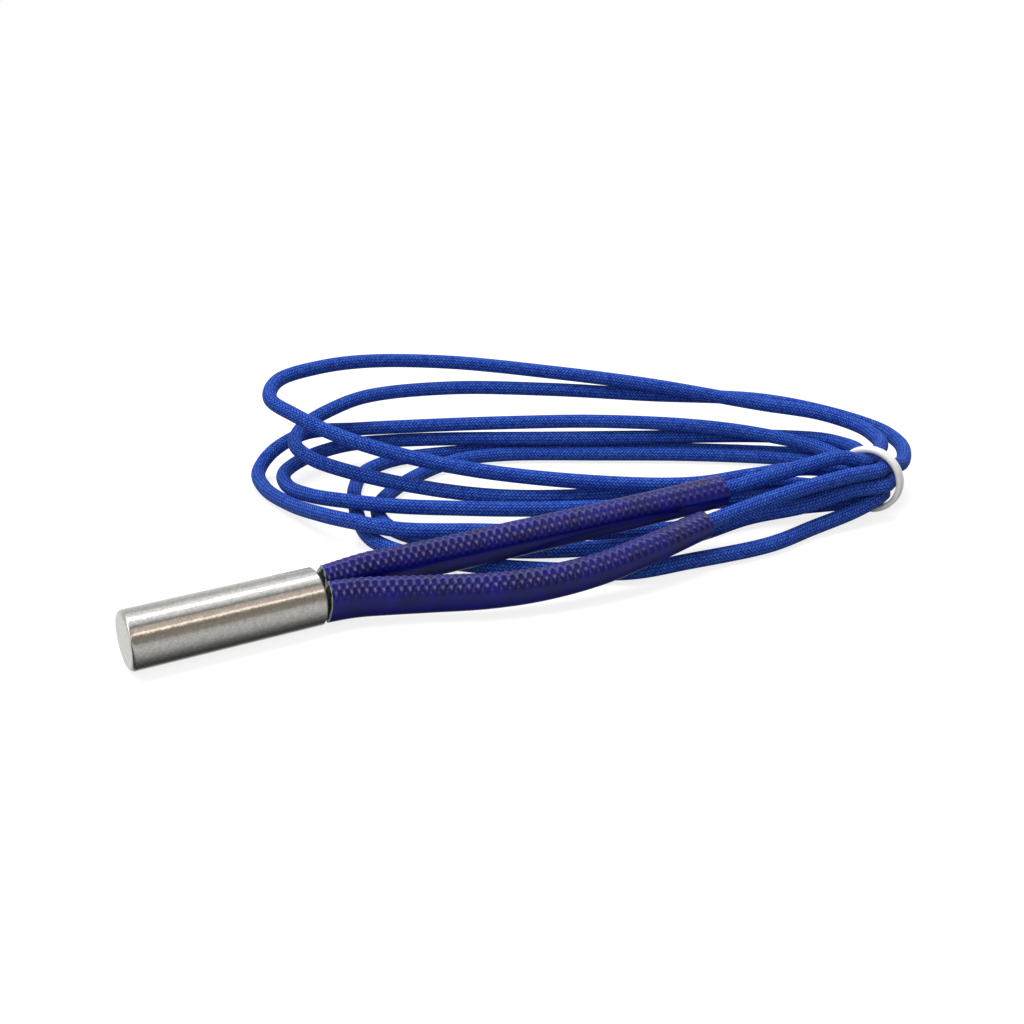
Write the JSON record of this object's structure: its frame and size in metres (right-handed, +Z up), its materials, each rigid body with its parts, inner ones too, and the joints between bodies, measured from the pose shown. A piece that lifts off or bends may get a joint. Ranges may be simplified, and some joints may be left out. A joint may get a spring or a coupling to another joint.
{
  "type": "cartridge heater",
  "caption": "Small steel cartridge heater that slides into a bore, with sleeved and braided leads wound into a loose coil held by a wire tie.",
  "frame": {"origin": "bottom centre of the steel sheath, on the table it lies on", "axes": "+X along the sheath from its closed end to its leads, +Z up"},
  "size_m": [0.1029, 0.0556, 0.0143],
  "materials": {
    "sheath_steel": "satin",
    "ceramic": "matte",
    "resistance_wire": "drawn",
    "oxide": "packed powder",
    "terminal": "drawn",
    "crimp": "plain",
    "conductor": "bare copper strand",
    "potting": "cast",
    "lead_braid": "varnished glass braid",
    "sleeve_braid": "lacquered glass braid",
    "tinned": "tinned",
    "tie_coating": "coated wire"
  },
  "bodies": {
    "root": {"sheath": "sheath_steel", "end_disc": "ceramic", "winding_core": "ceramic", "heating_wire": "resistance_wire", "oxide_fill": "oxide", "cap_disc": "ceramic", "terminal_pin_1": "terminal", "terminal_pin_2": "terminal", "crimp_1": "crimp", "crimp_2": "crimp", "bare_strand_1": "conductor", "bare_strand_2": "conductor", "end_seal": "potting", "lead_1": "lead_braid", "lead_2": "lead_braid", "sleeve_1": "sleeve_braid", "sleeve_2": "sleeve_braid", "lead_tip_1": "tinned", "lead_tip_2": "tinned", "tie": "tie_coating"}
  },
  "joints": []
}
